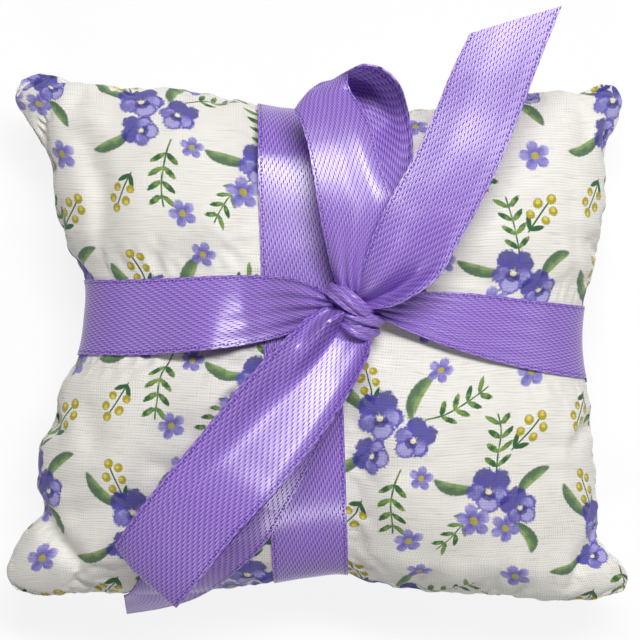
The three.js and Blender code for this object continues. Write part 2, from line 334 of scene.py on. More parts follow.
def newObject(name, vertices, faces, attributes=()):
    mesh = bpy.data.meshes.new(name)
    mesh.from_pydata([tuple(v) for v in vertices * mm], [], faces)
    mesh.update()
    for attributeName, values in attributes:
        attribute = mesh.attributes.new(attributeName, "FLOAT_VECTOR", "POINT")
        attribute.data.foreach_set("vector", np.asarray(values, np.float32).ravel())
    mesh.shade_smooth()
    made = bpy.data.objects.new(name, mesh)
    scene.collection.objects.link(made)
    return made


def gridFaces(columns, rows, start, flip):
    faces = []
    for i in range(columns):
        for j in range(rows):
            p = start + i * (rows + 1) + j
            quad = (p, p + rows + 1, p + rows + 2, p + 1)
            faces.append(quad[::-1] if flip else quad)
    return faces


def rimOf(grid):
    rim = np.zeros(grid.shape, bool)
    rim[[0, -1], :] = True
    rim[:, [0, -1]] = True
    return rim


def pillowSides(columns, rows):
    x, y = pillowGrid(columns, rows)
    rim = rimOf(x)
    front = np.stack([x, y, frontHeight(x, y)], -1)
    back = np.stack([x, y, backHeight(x, y)], -1)
    front[rim, 2] = pillow["seam"]
    back[rim] = front[rim]
    return front, back, rim


def closedShell(front, back, rim):
    # points and faces of both sides; the back shares the front's rim
    columns, rows = rim.shape[0] - 1, rim.shape[1] - 1
    under = np.arange(rim.size).reshape(rim.shape)
    under[~rim] = rim.size + np.arange((~rim).sum())
    faces = gridFaces(columns, rows, 0, False)
    for i in range(columns):
        for j in range(rows):
            faces.append(tuple(int(under[k]) for k in ((i, j), (i, j + 1), (i + 1, j + 1), (i + 1, j))))
    return np.vstack([front.reshape(-1, 3), back[~rim]]), faces


wrinkling = {
    "columns": 90,
    "rows": 76,
    "larger": 10,            # simulated at this scale, where the solver is at its best
    "frames": 20,
    "quality": 8,
    "mass": 0.3,
    "bending": 0.3,
    "pressure": 4.0,
    "slack": 0.06,           # how much larger the cloth is cut than the filling needs
    "mostIn": 2.0,
    "mostOut": 0.7,
    # held up to the first distance, free from the second: a band's middle, the lower tail's, the surface
    "bandHold": (6.5, 9),
    "tailHold": (8, 11),
    "flatHold": (0.9, 2.5),
    "tailLine": (2.4, 0.81, 0.587, 3.5),     # start in x, share of x, share of y, shift
    "tailRight": 4,
}


def heldShare(front, back, rim):
    # the seam, the cloth under the ribbon and the flat the pillow lies on stay where they are
    x, y = front[..., 0], front[..., 1]
    start, shareX, shareY, shift = wrinkling["tailLine"]
    fromTail = np.abs((x - start) * shareX - y * shareY - shift)
    besideTail = smoothStep(fromTail, *wrinkling["tailHold"])
    freeFront = offBands(x, y, 1, *wrinkling["bandHold"])
    underTail = (y < 0) & (x < wrinkling["tailRight"])
    freeFront = np.where(underTail, np.minimum(freeFront, besideTail), freeFront)
    freeBack = offBands(x, y, -1, *wrinkling["bandHold"])
    freeBack = np.minimum(freeBack, smoothStep(back[..., 2], *wrinkling["flatHold"]))
    heldFront, heldBack = (np.where(rim, 1, 1 - free) for free in (freeFront, freeBack))
    return np.concatenate([heldFront.ravel(), heldBack[~rim]])


def wrinkledSides():
    # cloth cut a little large, pressed out by the filling; how far it moved, front and back
    front, back, rim = pillowSides(wrinkling["columns"], wrinkling["rows"])
    points, faces = closedShell(front, back, rim)
    sample = newObject("cloth_sample", points * wrinkling["larger"], faces)
    held = sample.vertex_groups.new(name="held")
    for index, weight in enumerate(heldShare(front, back, rim)):
        held.add([index], float(weight), "REPLACE")
    cloth = sample.modifiers.new("cloth", "CLOTH")
    cloth.settings.vertex_group_mass = "held"
    cloth.settings.quality = wrinkling["quality"]
    cloth.settings.mass = wrinkling["mass"]
    cloth.settings.bending_stiffness = wrinkling["bending"]
    cloth.settings.shrink_min = -wrinkling["slack"]
    cloth.settings.use_pressure = True
    cloth.settings.uniform_pressure_force = wrinkling["pressure"]
    cloth.settings.effector_weights.gravity = 0
    cloth.collision_settings.use_collision = False
    cloth.point_cache.frame_end = wrinkling["frames"]
    for moment in range(1, wrinkling["frames"] + 1):
        scene.frame_set(moment)
    bpy.context.view_layer.objects.active = sample
    bpy.ops.object.modifier_apply(modifier="cloth")
    after = np.zeros(len(points) * 3, np.float32)
    sample.data.vertices.foreach_get("co", after)
    moved = after.reshape(-1, 3) / mm / wrinkling["larger"] - points
    size = np.linalg.norm(moved, axis=-1, keepdims=True)
    outward = np.sign((moved * (points - (0, 0, pillow["seam"]))).sum(-1, keepdims=True))
    most = np.where(outward > 0, wrinkling["mostOut"], wrinkling["mostIn"])
    moved *= np.tanh(size / most) * most / (size + 1e-9)
    print("cloth settled: moved", round(float(size.mean()), 2), "mm on average,",
          round(float(size.max()), 2), "at most")
    bpy.data.objects.remove(sample)
    scene.frame_set(1)
    movedBack = np.zeros_like(back)
    movedBack[~rim] = moved[rim.size:]
    return moved[:rim.size].reshape(front.shape), movedBack


def resampled(values, count):
    # smooth values at more places along the first axis
    at = np.linspace(0, len(values) - 1, count)
    k = np.minimum(at.astype(int), len(values) - 2)
    t = (at - k)[:, None, None]
    slope = np.gradient(values, axis=0)
    return hermite(t, values[k], values[k + 1], 1, slope[k], slope[k + 1])


def makePillow():
    columns, rows = pillow["columns"], pillow["rows"]
    front, back, rim = pillowSides(columns, rows)
    backPlaces = clothPlaces(back) + pillow["backPrint"]
    places = np.vstack([clothPlaces(front).reshape(-1, 3), backPlaces[~rim]])
    for side, moved in zip((front, back), wrinkledSides()):
        side += resampled(resampled(moved, columns + 1).swapaxes(0, 1), rows + 1).swapaxes(0, 1)
    points, faces = closedShell(front, back, rim)
    made = newObject("cotton_pillow", points, faces, [("clothPlace", places)])
    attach(made, "pillow")
    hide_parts("front_panel", "back_panel")
    return made


def clothPlaces(grid):
    # where a point lies on the flat cloth: lengths along the grid lines, from the middle out
    middleColumn, middleRow = grid.shape[0] // 2, grid.shape[1] // 2
    alongX = np.zeros(grid.shape[:2])
    alongX[1:] = np.cumsum(np.linalg.norm(np.diff(grid, axis=0), axis=-1), 0)
    alongY = np.zeros(grid.shape[:2])
    alongY[:, 1:] = np.cumsum(np.linalg.norm(np.diff(grid, axis=1), axis=-1), 1)
    alongX -= alongX[middleColumn]
    alongY -= alongY[:, [middleRow]]
    return np.stack([alongX, alongY, np.zeros_like(alongX)], -1)


# ribbon

ribbon = {
    "width": 12.0,
    "thickness": 0.3,
    "lanes": 32,             # lines of points across a strip
    "clear": 0.05,           # room between one layer and the next
    "bandSteps": 170,
    "looseSteps": 220,
    "sharpFrom": 50,         # degrees at which an edge is drawn sharp
    # place along the upright band, height off the cloth
    "uprightWave": [(-36, 0), (-14, 0), (13, 0), (15, 0.02), (17, 0.1), (20, 0.36), (23, 0.76), (26, 1.31),
                    (28, 1.7), (30, 1.9), (32, 1.7), (34, 1.0), (35.5, 0.3), (36.2, 0)],
}
firstLayer = ribbon["thickness"] / 2 + ribbon["clear"]
nextLayer = ribbon["thickness"] + ribbon["clear"]


def stripNormals(rows):
    normal = np.cross(np.gradient(rows, axis=1), np.gradient(rows, axis=0))
    return normal / (np.linalg.norm(normal, axis=-1, keepdims=True) + 1e-9)


def ribbonObject(name, rows, reverse=0.0):
    # rows of lane points become a thin closed strip, with its place along and across the flat ribbon and,
    # where the reverse shows, a mark on that face
    count, lanes = rows.shape[:2]
    half = stripNormals(rows) * ribbon["thickness"] / 2
    along = np.zeros((count, lanes))
    along[1:] = np.cumsum(np.linalg.norm(np.diff(rows, axis=0), axis=-1), 0)
    along = (along + along.mean(1, keepdims=True)) / 2
    across = np.broadcast_to(np.linspace(-1, 1, lanes) * ribbon["width"] / 2, (count, lanes))
    place = np.stack([along, across, np.zeros_like(along)], -1).reshape(-1, 3)
    size = count * lanes
    faces = gridFaces(count - 1, lanes - 1, 0, True) + gridFaces(count - 1, lanes - 1, size, False)
    loop = ([(i, 0) for i in range(count)] + [(count - 1, j) for j in range(1, lanes)]
            + [(i, lanes - 1) for i in range(count - 2, -1, -1)] + [(0, j) for j in range(lanes - 2, 0, -1)])
    corners = [i * lanes + j for i, j in loop]
    for p, q in zip(corners, corners[1:] + corners[:1]):
        faces.append((p, q, q + size, p + size))
    vertices = np.vstack([(rows + half).reshape(-1, 3), (rows - half).reshape(-1, 3)])
    places = np.vstack([place, place + (0, 0, reverse)])
    made = newObject(name, vertices, faces, [("clothPlace", places)])
    made.data.set_sharp_from_angle(angle=math.radians(ribbon["sharpFrom"]))
    mapRibbon(made.data, places)
    return made


def mapRibbon(mesh, place):
    # across and along as a map, which gives the shader the threads' direction
    layer = mesh.uv_layers.new(name="ribbonMap")
    corners = np.zeros(len(mesh.loops), np.int32)
    mesh.loops.foreach_get("vertex_index", corners)
    flat = place[corners][:, [1, 0]] / ribbon["width"]
    layer.data.foreach_set("uv", flat.astype(np.float32).ravel())


def liftedOff(rows, amount):
    # away from the middle of the pillow, square to the cloth
    normal = stripNormals(rows)
    outward = rows - np.array([0, 0, pillow["seam"]])
    normal *= np.sign((normal * outward).sum(-1, keepdims=True).mean())
    return rows + normal * amount[..., None]


def bandSide(lanePlace, run, face, alongX):
    # one side of a band: each lane follows its own line on the cloth from seam to seam
    lanes = []
    for share in np.linspace(-1, 1, ribbon["lanes"]):
        x, y = 90 * (run - 0.5), 80 * (run - 0.5)      # a first guess again
        for _ in range(12):
            if alongX:
                y = lanePlace(x, share, face)
                x = sideLine["left"](y) * (1 - run) + sideLine["right"](y) * run
            else:
                x = lanePlace(y, share, face)
                y = sideLine["bottom"](x) * (1 - run) + sideLine["top"](x) * run
        height = clothHeight(x, y, face)
        height[[0, -1]] = pillow["seam"]
        lanes.append(np.stack([x, y, height], -1))
    return np.stack(lanes, 1)


def seamRun():
    return (1 - np.cos(np.linspace(0, math.pi, ribbon["bandSteps"]))) / 2


def uprightRows():
    def lanePlace(y, share, face):
        return uprightX(y) + share * ribbon["width"] / 2

    front = bandSide(lanePlace, seamRun(), 1, False)
    back = bandSide(lanePlace, seamRun()[::-1], -1, False)
    wave = np.zeros(front.shape[:2]) + lineThrough(ribbon["uprightWave"])(front[..., 1])
    lift = firstLayer + np.vstack([wave, np.zeros(back[1:-1].shape[:2])])
    return liftedOff(np.vstack([front, back[1:-1]]), lift)


gather = {
    "knotReach": 2.6,        # the band ends inside the knot, this far from its middle
    "width": 1.3,
    "spread": (6.4, 11.0),   # how slowly it opens out again, left and right of the knot
    "pleats": 4,
    "pleatDepth": 0.55,
    "pleatSway": (0.5, 0.35),
    "crown": 0.9,
    "rise": 2.3,
    "riseSpread": 6.0,
    "frontFrom": 4,          # height above the seam
    "overUpright": (6.2, 9),
    # middle, spread, lower edge up, upper edge up
    "edgeLift": [(-17.3, 7, 2.9, 0), (-2, 5, 0, 2.0), (20, 9, 1.4, 0)],
}


def knotApart(x):
    return np.maximum(np.abs(x - knotAt[0]) - gather["knotReach"], 0)


def gathered(x):
    # the width of the band in front
    spread = np.where(x < knotAt[0], *gather["spread"])
    return gather["width"] + (ribbon["width"] - gather["width"]) * (1 - np.exp(-knotApart(x) / spread))


def acrossLift(rows):
    # height off the cloth: over the upright band, raised and pleated towards the knot
    x, y, z = rows[..., 0], rows[..., 1], rows[..., 2]
    share = np.linspace(0, 1, ribbon["lanes"])
    squeeze = 1 - gathered(x) / ribbon["width"]
    sway, pitch = gather["pleatSway"]
    pleat = 1 + np.cos(share * 2 * math.pi * gather["pleats"] + sway * np.sin(x * pitch))
    raised = gather["rise"] * np.exp(-(knotApart(x) / gather["riseSpread"]) ** 2)
    raised += squeeze * (gather["crown"] * (1 - (2 * share - 1) ** 2) + gather["pleatDepth"] * pleat)
    for middle, spread, lower, upper in gather["edgeLift"]:
        raised += np.exp(-((x - middle) / spread) ** 2) * (lower * (1 - share) + upper * share)
    over = 1 - smoothStep(np.abs(x - uprightX(y)), *gather["overUpright"])
    inFront = z > pillow["seam"] + gather["frontFrom"]
    return firstLayer + nextLayer * over + np.where(inFront, raised, 0)


def acrossRows():
    # from the knot round the left side, over the back and round the right side to the knot
    def lanePlace(x, share, face):
        width = gathered(x) if face > 0 else ribbon["width"]
        return acrossY(x, face) + share * width / 2

    front = bandSide(lanePlace, seamRun(), 1, True)
    back = bandSide(lanePlace, seamRun(), -1, True)
    middle = front[:, ribbon["lanes"] // 2, 0]
    rows = np.vstack([front[middle < knotAt[0] - gather["knotReach"]][::-1], back[1:-1],
                      front[middle > knotAt[0] + gather["knotReach"]][::-1]])
    return liftedOff(rows, acrossLift(rows))


bow = {
    "upperLoop": {
        "edges": [   # left edge, right edge
            ((3.2, 6.8, 34.8), (6.6, 7.1, 34.8)),
            ((2.0, 10.2, 35.5), (7.5, 11.4, 35.7)),
            ((1.1, 14.1, 36.2), (9.0, 15.0, 36.2)),
            ((0.0, 19.3, 36.3), (11.0, 20.2, 36.0)),
            ((-0.9, 25.0, 35.5), (9.3, 26.3, 35.0)),
            ((-1.9, 30.0, 34.3), (8.0, 31.8, 33.6)),
            ((-3.0, 33.2, 33.0), (6.3, 35.4, 32.2)),
            ((-3.7, 34.4, 31.2), (4.6, 38.5, 31.0)),
            ((-3.3, 34.9, 29.6), (4.5, 40.5, 31.7)),
            ((-2.0, 34.6, 28.2), (6.2, 41.3, 36.0)),
            ((-0.3, 33.4, 27.4), (9.6, 40.6, 36.4)),
            ((1.2, 31.0, 27.2), (12.1, 38.4, 35.4)),
            ((2.2, 27.6, 27.8), (13.8, 34.8, 29.4)),
            ((2.6, 23.4, 29.0), (14.5, 28.9, 29.4)),
            ((2.9, 18.6, 30.4), (13.6, 22.6, 30.6)),
            ((3.4, 13.4, 31.9), (10.3, 16.1, 31.6)),
            ((4.1, 7.2, 32.6), (6.3, 7.2, 32.8)),
        ],
        "folds": [   # heights across the ribbon, strength along it
            ([(0, -0.5), (0.2, 0.5), (0.36, 0.0), (0.5, 0.55), (0.66, 0.0), (0.82, 0.5), (1, -0.5)],
             [(0, 1.2), (0.06, 1.0), (0.12, 0.5), (0.17, 0.12), (0.21, 0), (0.25, 0), (0.85, 0), (1, 0.8)]),
            ([(0, -0.7), (0.5, 0.5), (1, -0.7)],
             [(0, 0), (0.08, 0.6), (0.14, 0.5), (0.22, 0.1), (0.3, 0), (1, 0)]),
        ],
        "shifts": [   # which way, how far across the ribbon, strength along it
            ((0, 0, -1), [(0, 0), (0.25, 0.5), (0.5, 0.95), (0.65, 1), (0.8, 0.9), (0.92, 0.4), (1, 0)],
             [(0, 0), (0.4, 0), (0.43, 0.1), (0.46, 0.6), (0.5, 2.1), (0.5625, 5.2), (0.625, 7.2),
              (0.6875, 5.0), (0.75, 1.9), (0.8, 0.5), (0.84, 0.1), (0.88, 0), (0.92, 0), (1, 0)]),
            ((0, 0, -1), [(0, 0), (0.4, 0), (0.5, 0.1), (0.65, 0.6), (0.8, 1), (0.9, 0.7), (1, 0)],
             [(0, 0), (0.56, 0), (0.6, 0.2), (0.64, 0.9), (0.6875, 2.0), (0.73, 1.0), (0.77, 0.2), (0.82, 0),
              (0.86, 0), (1, 0)]),
            ((-0.3, 1, 0), [(0, 0), (0.12, 0.9), (0.3, 1.5), (0.5, 1.2), (0.75, 0.4), (1, 0)],
             [(0, 0), (0.22, 0), (0.28, 0), (0.34, 0.2), (0.42, 0.7), (0.5, 1), (0.56, 0.8), (0.64, 0.3),
              (0.7, 0), (0.76, 0), (1, 0)]),
        ],
        "reverse": 1.0,   # the duller side of the satin shows inside this loop
        "layers": 2,
        "node": "upper_loop",
        "bodies": ("pillow", "upper_loop"),
        "bend": ((5, 7, 34), (5, 14, 34)),
    },
    "upperTail": {
        "edges": [
            ((5.2, 6.4, 34.4), (7.0, 4.2, 34.6)),
            ((6.3, 9.6, 36.3), (12.2, 5.2, 36.5)),
            ((7.6, 13.8, 37.4), (18.0, 8.9, 37.4)),
            ((9.4, 18.2, 37.5), (21.0, 14.0, 37.5)),
            ((11.8, 22.7, 37.1), (24.0, 19.3, 37.2)),
            ((15.1, 28.6, 36.4), (27.0, 25.4, 36.7)),
            ((18.0, 35.1, 35.6), (30.2, 32.9, 35.9)),
            ((20.2, 40.5, 35.1), (33.5, 41.6, 35.3)),
            ((23.0, 46.3, 34.6), (37.1, 50.5, 34.6)),
        ],
        "folds": [
            ([(0, -0.3), (0.16, 0.2), (0.32, 0.7), (0.45, 0.3), (0.6, -0.9), (0.74, -1.8), (0.82, -1.4),
              (0.92, 0.5), (1, 0.8)],
             [(0, 0.5), (0.06, 1.2), (0.12, 1.7), (0.18, 1.5), (0.26, 0.8), (0.36, 0.2), (0.44, 0), (0.5, 0),
              (1, 0)]),
            ([(0, -0.5), (0.5, 0.3), (1, -0.3)], [(0, 0), (0.35, 0.6), (0.6, 1), (1, 0.4)]),
        ],
        "layers": 0,
        "node": "upper_tail",
        "bodies": ("upper_loop", "upper_tail"),
        "bend": ((6.5, 5.3, 34.6), (11, 10, 36)),
    },
    "lowerTail": {
        "edges": [
            ((1.2, 1.2, 32.0), (3.6, -1.0, 32.0)),
            ((-4.2, -4.5, 31.9), (4.3, -8.0, 32.0)),
            ((-9.2, -12.5, 31.4), (0.3, -16.5, 30.6)),
            ((-15.5, -20.5, 29.0), (-4.4, -25.5, 27.6)),
            ((-21.0, -27.5, 26.0), (-8.8, -32.8, 24.0)),
            ((-25.0, -33.0, 22.6), (-13.8, -37.6, 21.0)),
            ((-28.0, -37.8, 20.0), (-19.5, -41.8, 14.0)),
            ((-30.0, -40.8, 17.0), (-25.5, -44.2, 7.6)),
            ((-31.2, -41.6, 15.0), (-31.5, -45.5, 4.2)),
        ],
        "folds": [([(0, 0), (0.3, 0.3), (0.6, -0.2), (1, 0)], [(0, 1), (0.4, 0.5), (1, 0.3)])],
        "layers": 0,
        "node": "lower_tail",
        "bodies": ("pillow", "lower_tail"),
        "bend": ((2.4, 0.1, 32), (-2, -5, 32)),
    },
    "lowerLoop": {
        "edges": [
            ((2.1, 5.3, 33.6), (7.8, -0.5, 33.6)),
            ((-1.4, 3.0, 33.6), (7.4, -3.2, 34.5)),
            ((-5.3, -1.1, 34.7), (4.6, -8.6, 35.6)),
            ((-11.0, -7.0, 36.2), (0.4, -15.0, 37.1)),
            ((-16.3, -13.1, 37.8), (-5.2, -21.9, 38.7)),
            ((-20.2, -17.6, 38.8), (-9.0, -26.0, 39.5)),
            ((-23.9, -21.9, 39.0), (-12.6, -29.9, 39.3)),
            ((-28.8, -28.2, 36.8), (-18.4, -37.3, 36.8)),
            ((-31.4, -32.2, 34.0), (-21.5, -41.1, 34.0)),
            ((-31.8, -32.7, 32.8), (-21.8, -41.5, 32.8)),
            ((-31.0, -31.7, 31.6), (-21.0, -40.5, 31.6)),
            ((-21.4, -24.9, 31.6), (-12.9, -31.1, 31.6)),
            ((-12.0, -15.9, 32.2), (-5.0, -22.0, 32.2)),
            ((-6.0, -8.9, 32.7), (1.0, -14.5, 32.7)),
            ((-1.0, -2.5, 32.9), (4.5, -6.5, 32.9)),
            ((2.5, 3.5, 33.1), (5.5, 0.5, 33.1)),
        ],
        "folds": [
            ([(0, -4.5), (0.05, -4.0), (0.12, -3.1), (0.2, -1.6), (0.27, -0.35), (0.33, 0.2), (0.45, 0.3),
              (0.72, 0.5), (0.9, 0.3), (1, -0.4)],
             [(0, 0), (0.05, 0.1), (0.09, 0.4), (0.14, 0.9), (0.2, 0.95), (0.27, 0.55), (0.34, 0.15),
              (0.4, 0), (1, 0)]),
            ([(0, -0.6), (0.07, -0.3), (0.14, -0.9), (0.21, -2.9), (0.27, -4.3), (0.32, -3.5), (0.37, -1.0),
              (0.42, 0.6), (0.5, 0.9), (0.72, 0.7), (0.9, 0.2), (1, -0.9)],
             [(0, 0.6), (0.04, 1.0), (0.08, 1.0), (0.12, 0.65), (0.16, 0.25), (0.2, 0.05), (0.24, 0),
              (0.3, 0), (1, 0)]),
        ],
        "layers": 1,
        "node": "lower_loop",
        "bodies": ("lower_tail", "lower_loop"),
        "bend": ((4, 1.5, 34), (-1, -4, 34)),
    },
}


def restOn(rows, layers):
    # a stretch that would sink lies on the pillow instead, some layers of ribbon up
    x, y = rows[..., 0], rows[..., 1]
    u, v = shares(x, y)
    inside = (np.abs(u) < 1) & (np.abs(v) < 1)
    floor = frontHeight(x, y) + firstLayer + (layers + 1) * nextLayer
    rows[..., 2] = np.where(inside, np.maximum(rows[..., 2], floor), rows[..., 2])
    return rows


def looseRows(route):
    left = curveThrough([edge[0] for edge in route["edges"]], ribbon["looseSteps"])
    right = curveThrough([edge[1] for edge in route["edges"]], ribbon["looseSteps"])
    share = np.linspace(0, 1, ribbon["lanes"])
    run = np.linspace(0, 1, ribbon["looseSteps"])
    rows = left[:, None] * (1 - share[:, None]) + right[:, None] * share[:, None]
    normal = stripNormals(rows)
    for heights, strengths in route["folds"]:
        lift = lineThrough(strengths)(run)[:, None] * lineThrough(heights)(share)
        rows = rows + normal * lift[..., None]
    for way, amounts, strengths in route.get("shifts", ()):
        amount = lineThrough(strengths)(run)[:, None] * lineThrough(amounts)(share)
        rows = rows + amount[..., None] * np.array(way)
    return restOn(rows, route["layers"])


def dressRibbon(made, node):
    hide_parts(node)
    return made


def makeRibbons():
    made = []
    for way, rows in (("upright", uprightRows()), ("across", acrossRows())):
        band = dressRibbon(ribbonObject("satin_" + way, rows), way + "_band")
        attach(band, "pillow")
        made.append(band)
    for route in bow.values():
        rows = looseRows(route)
        loose = ribbonObject("satin_" + route["node"], rows, route.get("reverse", 0.0))
        strip = dressRibbon(loose, route["node"])
        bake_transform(strip)
        made.append(strip)
    return made


# knot

knot = {
    "strands": [   # stations, half width and half depth at the start, at the end
        ([(2.0, 7.0, 32.0), (2.3, 6.9, 34.2), (3.2, 6.4, 35.8), (4.6, 5.4, 36.4), (6.0, 4.4, 35.9),
          (7.2, 3.6, 34.4), (7.6, 3.0, 32.4)], (1.55, 1.4), (1.2, 1.1)),
        ([(3.0, 4.4, 32.2), (3.6, 3.9, 34.2), (5.0, 3.2, 35.3), (6.8, 2.7, 35.1), (8.4, 2.4, 34.1),
          (9.5, 2.3, 32.4)], (1.0, 1.1), (0.9, 0.9)),
        ([(3.2, 3.2, 31.8), (3.9, 2.3, 33.6), (5.1, 1.3, 34.7), (6.6, 0.6, 34.5), (8.0, 0.4, 33.3),
          (8.6, 0.8, 31.8)], (1.05, 1.0), (1.05, 1.0)),
    ],
    "ring": 64,
    "steps": 70,
    "pleats": 6,
    "pleatDepth": 0.15,
    "twist": 7.6,                # how far the pleats wind round a strand, in radians
    "ripple": 1.2,
    "swell": 0.2,
    "under": (0, 0, 1.5),        # the strands wind about a point this far below the knot's middle
}


def strandRows(stations, startSize, endSize):
    path = curveThrough(stations, knot["steps"])
    tangent = np.gradient(path, axis=0)
    tangent /= np.linalg.norm(tangent, axis=-1, keepdims=True)
    side = np.cross(tangent, path - np.array(knotAt) + knot["under"])
    side /= np.linalg.norm(side, axis=-1, keepdims=True)
    high = np.cross(side, tangent)
    run = np.linspace(0, 1, knot["steps"])[:, None]
    turn = np.linspace(0, 2 * math.pi, knot["ring"], endpoint=False)[None]
    wind = knot["pleats"] * turn + knot["twist"] * run + knot["ripple"] * np.sin(2 * turn)
    pleat = 1 + knot["pleatDepth"] * np.cos(wind)
    swell = 1 - knot["swell"] * (1 - np.sin(run * math.pi))
    width = (startSize[0] * (1 - run) + endSize[0] * run) * swell
    depth = (startSize[1] * (1 - run) + endSize[1] * run) * swell
    return (path[:, None] + side[:, None] * (np.cos(turn) * width * pleat)[..., None]
            + high[:, None] * (np.sin(turn) * depth * pleat)[..., None])


def makeKnot():
    vertices, faces, places = [], [], []
    ring = knot["ring"]
    for stations, startSize, endSize in knot["strands"]:
        rows = strandRows(stations, startSize, endSize)
        start = len(vertices)
        vertices.extend(rows.reshape(-1, 3))
        steps = np.linalg.norm(np.diff(rows.mean(1), axis=0), axis=-1)
        along = np.concatenate([[0], np.cumsum(steps)])
        for i in range(knot["steps"]):
            places.extend((along[i], ribbon["width"] * (j / ring - 0.5), 0) for j in range(ring))
        for i in range(knot["steps"] - 1):
            p = start + i * ring
            for j in range(ring):
                k = (j + 1) % ring
                faces.append((p + j, p + k, p + ring + k, p + ring + j))
        faces.append(tuple(start + j for j in reversed(range(ring))))
        faces.append(tuple(start + (knot["steps"] - 1) * ring + j for j in range(ring)))
    made = newObject("satin_knot", np.array(vertices), faces, [("clothPlace", np.array(places))])
    mapRibbon(made.data, np.array(places))
    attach(made, "pillow")
    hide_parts("bow_knot")
    return made


# filling

filling = {
    "inset": 1.2,            # under the cloth
    "seamInset": 3,
    "columns": 96,
    "rows": 80,
    "budLength": 4.5,
    "grain": 0.7,
}


def makeBuds():
    # one heap of dried buds, as full as the cloth lets it be
    x, y = pillowGrid(filling["columns"], filling["rows"], filling["seamInset"])
    rim = rimOf(x)

    def below(seed):
        return filling["inset"] + filling["grain"] * np.abs(softNoise(x, y, filling["budLength"], seed))

    top = frontHeight(x, y) - below(31)
    bottom = backHeight(x, y) + below(32)
    middle = (top + bottom) / 2
    top, bottom = np.maximum(top, middle), np.minimum(bottom, middle)
    top[rim] = bottom[rim] = pillow["seam"]
    points, faces = closedShell(np.stack([x, y, top], -1), np.stack([x, y, bottom], -1), rim)
    made = newObject("lavender_buds", points, faces)
    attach(made, "pillow")
    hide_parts("lavender_filling")
    return made


# shader nodes, each function giving the socket that its node puts out

def feed(tree, socket, value):
    if isinstance(value, bpy.types.NodeSocket):
        tree.links.new(value, socket)
    else:
        socket.default_value = value


def calc(tree, operation, *values, clamp=False):
    node = tree.nodes.new("ShaderNodeMath")
    node.operation = operation
    node.use_clamp = clamp
    for socket, value in zip(node.inputs, values):
        feed(tree, socket, value)
    return node.outputs[0]


def plus(tree, first, second):
    return calc(tree, "ADD", first, second)


def minus(tree, first, second):
    return calc(tree, "SUBTRACT", first, second)


def times(tree, first, second):
    return calc(tree, "MULTIPLY", first, second)


def absolute(tree, value):
    return calc(tree, "ABSOLUTE", value)


def largest(tree, first, *others):
    for other in others:
        first = calc(tree, "MAXIMUM", first, other)
    return first


def between(tree, value, low, high):
    # 0 at low, 1 at high, soft at both ends
    node = tree.nodes.new("ShaderNodeMapRange")
    node.interpolation_type = "SMOOTHSTEP"
    feed(tree, node.inputs["Value"], value)
    node.inputs["From Min"].default_value = low
    node.inputs["From Max"].default_value = high
    return node.outputs["Result"]


def mixColor(tree, share, first, second, blendType="MIX"):
    node = tree.nodes.new("ShaderNodeMix")
    node.data_type = "RGBA"
    node.blend_type = blendType
    feed(tree, node.inputs["Factor"], share)
    feed(tree, node.inputs["A"], first)
    feed(tree, node.inputs["B"], second)
    return node.outputs["Result"]


def noise(tree, vector, scale, detail=2):
    node = tree.nodes.new("ShaderNodeTexNoise")
    feed(tree, node.inputs["Vector"], vector)
    node.inputs["Scale"].default_value = scale
    node.inputs["Detail"].default_value = detail
    return node.outputs["Fac"]


def split(tree, vector):
    node = tree.nodes.new("ShaderNodeSeparateXYZ")
    feed(tree, node.inputs[0], vector)
    return node.outputs["X"], node.outputs["Y"], node.outputs["Z"]


def join(tree, x, y, z=0.0):
    node = tree.nodes.new("ShaderNodeCombineXYZ")
    for socket, value in zip(node.inputs, (x, y, z)):
        feed(tree, socket, value)
    return node.outputs[0]


def stretched(tree, vector, scale):
    node = tree.nodes.new("ShaderNodeVectorMath")
    node.operation = "MULTIPLY"
    feed(tree, node.inputs[0], vector)
    node.inputs[1].default_value = scale
    return node.outputs[0]


def clothPlace(tree):
    node = tree.nodes.new("ShaderNodeAttribute")
    node.attribute_name = "clothPlace"
    return node.outputs["Vector"]


def newFinish(name):
    material = bpy.data.materials.new(name)
    material.use_nodes = True
    tree = material.node_tree
    return material, tree, tree.nodes["Principled BSDF"]


def setInputs(node, values):
    for name, value in values.items():
        node.inputs[name].default_value = value


def addBump(tree, shader, height, distance):
    bump = tree.nodes.new("ShaderNodeBump")
    bump.inputs["Strength"].default_value = 1.0
    bump.inputs["Distance"].default_value = distance * mm
    feed(tree, bump.inputs["Height"], height)
    tree.links.new(bump.outputs[0], shader.inputs["Normal"])


def paint(red, green, blue):
    # screen colour, none of it near black, to the linear colour that the shader takes
    return tuple(((value / 255 + 0.055) / 1.055) ** 2.4 for value in (red, green, blue)) + (1,)


# print: sprigs drawn in millimetres on the flat cloth, then scattered over a half-drop repeat

